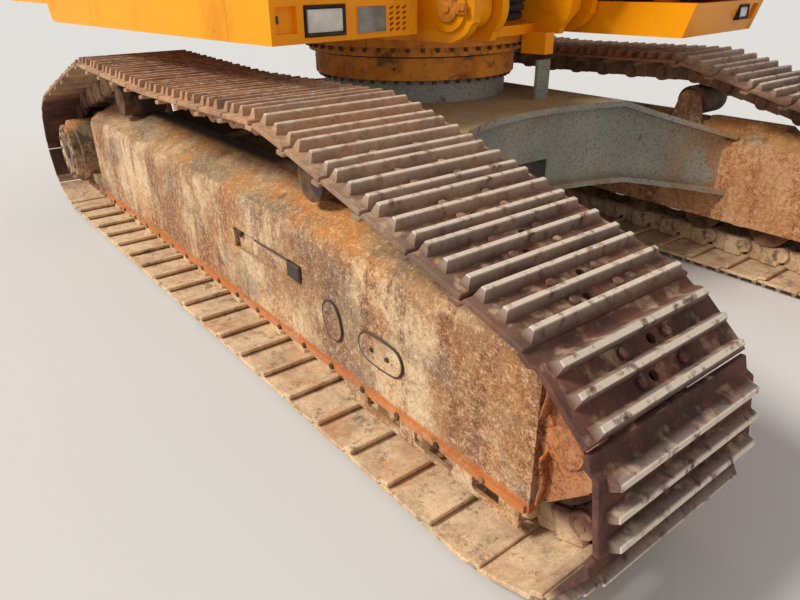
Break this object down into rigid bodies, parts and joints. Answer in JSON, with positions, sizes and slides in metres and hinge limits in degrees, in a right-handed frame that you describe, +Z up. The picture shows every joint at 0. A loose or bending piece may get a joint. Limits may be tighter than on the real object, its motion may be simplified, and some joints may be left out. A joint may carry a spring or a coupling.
{
  "type": "crawler excavator",
  "caption": "Crawler excavator on two tracks with slewing upper structure, cab, counterweight, and hydraulic boom, stick and bucket.",
  "frame": {"origin": "under the middle of the whole machine's box, on the ground", "axes": "+X forward along the arm, +Y to the machine's left, +Z up"},
  "size_m": [10.5002, 3.9105, 5.3801],
  "materials": {
    "yellow_paint": "weathered semi-gloss yellow paint",
    "greasy_yellow": "yellow paint with grease and rust",
    "grey_green_paint": "dusty grey-green paint",
    "rusty_paint": "old paint under rust and dust",
    "worn_track_steel": "rusty steel with worn bright edges",
    "window_glass": "clear tinted glass",
    "seat_fabric": "woven seat cloth",
    "dark_plastic": "matt black plastic",
    "dark_paint": "dark grey paint",
    "dark_steel": "heat-darkened steel",
    "rail_black": "black painted tube",
    "rod_chrome": "hard chrome",
    "bucket_steel": "ground-worn rusty steel"
  },
  "bodies": {
    "undercarriage": {"carbody": "grey_green_paint", "track_frame_right": "rusty_paint", "track_frame_left": "rusty_paint", "track_right": "worn_track_steel", "track_left": "worn_track_steel", "idlers": "worn_track_steel", "idler_yokes": "rusty_paint", "final_drives": "rusty_paint", "track_rollers": "worn_track_steel", "ring_fixed": "greasy_yellow"},
    "upper": {"ring_turning": "greasy_yellow", "upper_frame": "yellow_paint", "side_sills": "yellow_paint", "lamp_box": "yellow_paint", "cab_base": "yellow_paint", "cab": "yellow_paint", "cab_glass": "window_glass", "seat": "seat_fabric", "consoles": "dark_plastic", "fuel_tank": "yellow_paint", "step_box": "yellow_paint", "engine": "dark_paint", "machine_walls": "yellow_paint", "top_covers": "yellow_paint", "counterweight": "yellow_paint", "handrails": "rail_black", "mirrors": "dark_plastic"},
    "cab_door": {"cab_door": "yellow_paint", "cab_door_glass": "window_glass"},
    "hood": {"hood": "yellow_paint", "exhaust": "dark_steel"},
    "door_right": {"door_right": "yellow_paint"},
    "door_left_rear": {"door_left_rear": "yellow_paint"},
    "door_left_front": {"door_left_front": "yellow_paint"},
    "boom": {"boom": "yellow_paint"},
    "boom_barrels": {"boom_barrels": "yellow_paint"},
    "boom_rods": {"boom_rods": "rod_chrome"},
    "stick_barrel": {"stick_barrel": "yellow_paint"},
    "stick_rod": {"stick_rod": "rod_chrome"},
    "stick": {"stick": "yellow_paint"},
    "bucket_barrel": {"bucket_barrel": "yellow_paint"},
    "bucket_rod": {"bucket_rod": "rod_chrome"},
    "rocker": {"rocker": "yellow_paint"},
    "bucket_link": {"bucket_link": "yellow_paint"},
    "bucket": {"bucket": "bucket_steel"}
  },
  "joints": [
    {"name": "slew", "type": "hinge", "parent": "undercarriage", "child": "upper", "pos_m": [-1.93, 0, 1.23], "axis": [0, 0, 1], "continuous": true},
    {"name": "boom_lift", "type": "hinge", "parent": "upper", "child": "boom", "pos_m": [-1.6, 0, 2.18], "axis": [0, -1, 0], "range_deg": [-65, 36]},
    {"name": "boom_barrel_swing", "type": "hinge", "parent": "upper", "child": "boom_barrels", "pos_m": [-1.18, 0, 1.48], "axis": [0, -1, 0], "range_deg": [-61.1, 33.9]},
    {"name": "boom_rod_slide", "type": "slide", "parent": "boom_barrels", "child": "boom_rods", "axis": [0.5293, 0, 0.8484], "range_m": [-0.826, 0.4577]},
    {"name": "stick_curl", "type": "hinge", "parent": "boom", "child": "stick", "pos_m": [4.59889, 0, 4.44577], "axis": [0, 1, 0], "range_deg": [-81, 30]},
    {"name": "stick_barrel_swing", "type": "hinge", "parent": "boom", "child": "stick_barrel", "pos_m": [0.9227, 0, 4.89079], "axis": [0, 1, 0], "range_deg": [-1.7, 0.7]},
    {"name": "stick_rod_slide", "type": "slide", "parent": "stick_barrel", "child": "stick_rod", "axis": [0.9961, 0, 0.0883], "range_m": [-1.134, 0.42]},
    {"name": "bucket_curl", "type": "hinge", "parent": "stick", "child": "bucket", "pos_m": [4.28421, 0, 1.41205], "axis": [0, 1, 0], "range_deg": [-60, 104]},
    {"name": "bucket_barrel_swing", "type": "hinge", "parent": "stick", "child": "bucket_barrel", "pos_m": [5.14043, 0, 4.2388], "axis": [0, 1, 0], "range_deg": [-2.9, 5]},
    {"name": "bucket_rod_slide", "type": "slide", "parent": "bucket_barrel", "child": "bucket_rod", "axis": [-0.0525, 0, -0.9986], "range_m": [-0.383, 0.663]},
    {"name": "rocker_swing", "type": "hinge", "parent": "stick", "child": "rocker", "pos_m": [4.38178, 0, 1.96494], "axis": [0, 1, 0], "range_deg": [-39, 67.5]},
    {"name": "link_swing", "type": "hinge", "parent": "bucket", "child": "bucket_link", "pos_m": [4.74685, 0, 1.32609], "axis": [0, -1, 0], "range_deg": [-46.6, 80.6]},
    {"name": "cab_door_hinge", "type": "hinge", "parent": "upper", "child": "cab_door", "pos_m": [-1.567, 1.445, 2.1], "axis": [0, 0, 1], "range_deg": [0, 150]},
    {"name": "door_right_hinge", "type": "hinge", "parent": "upper", "child": "door_right", "pos_m": [-4.221, -1.465, 2], "axis": [0, 0, -1], "range_deg": [0, 110]},
    {"name": "door_left_rear_hinge", "type": "hinge", "parent": "upper", "child": "door_left_rear", "pos_m": [-4.221, 1.465, 2], "axis": [0, 0, 1], "range_deg": [0, 110]},
    {"name": "door_left_front_hinge", "type": "hinge", "parent": "upper", "child": "door_left_front", "pos_m": [-3.241, 1.465, 2], "axis": [0, 0, 1], "range_deg": [0, 110]},
    {"name": "hood_hinge", "type": "hinge", "parent": "upper", "child": "hood", "pos_m": [-4.257, 0, 2.652], "axis": [0, -1, 0], "range_deg": [0, 70]}
  ],
  "couplings": [
    {"joint": "boom_barrel_swing", "follows": "boom_lift", "ratio": 0.9378},
    {"joint": "boom_rod_slide", "follows": "boom_lift", "m_per_rad": 0.7276},
    {"joint": "stick_barrel_swing", "follows": "stick_curl", "ratio": 0.0199},
    {"joint": "stick_rod_slide", "follows": "stick_curl", "m_per_rad": 0.8014},
    {"joint": "bucket_barrel_swing", "follows": "bucket_curl", "ratio": 0.0473},
    {"joint": "bucket_rod_slide", "follows": "bucket_curl", "m_per_rad": 0.365},
    {"joint": "rocker_swing", "follows": "bucket_curl", "ratio": 0.6481},
    {"joint": "link_swing", "follows": "bucket_curl", "ratio": 0.7738}
  ]
}
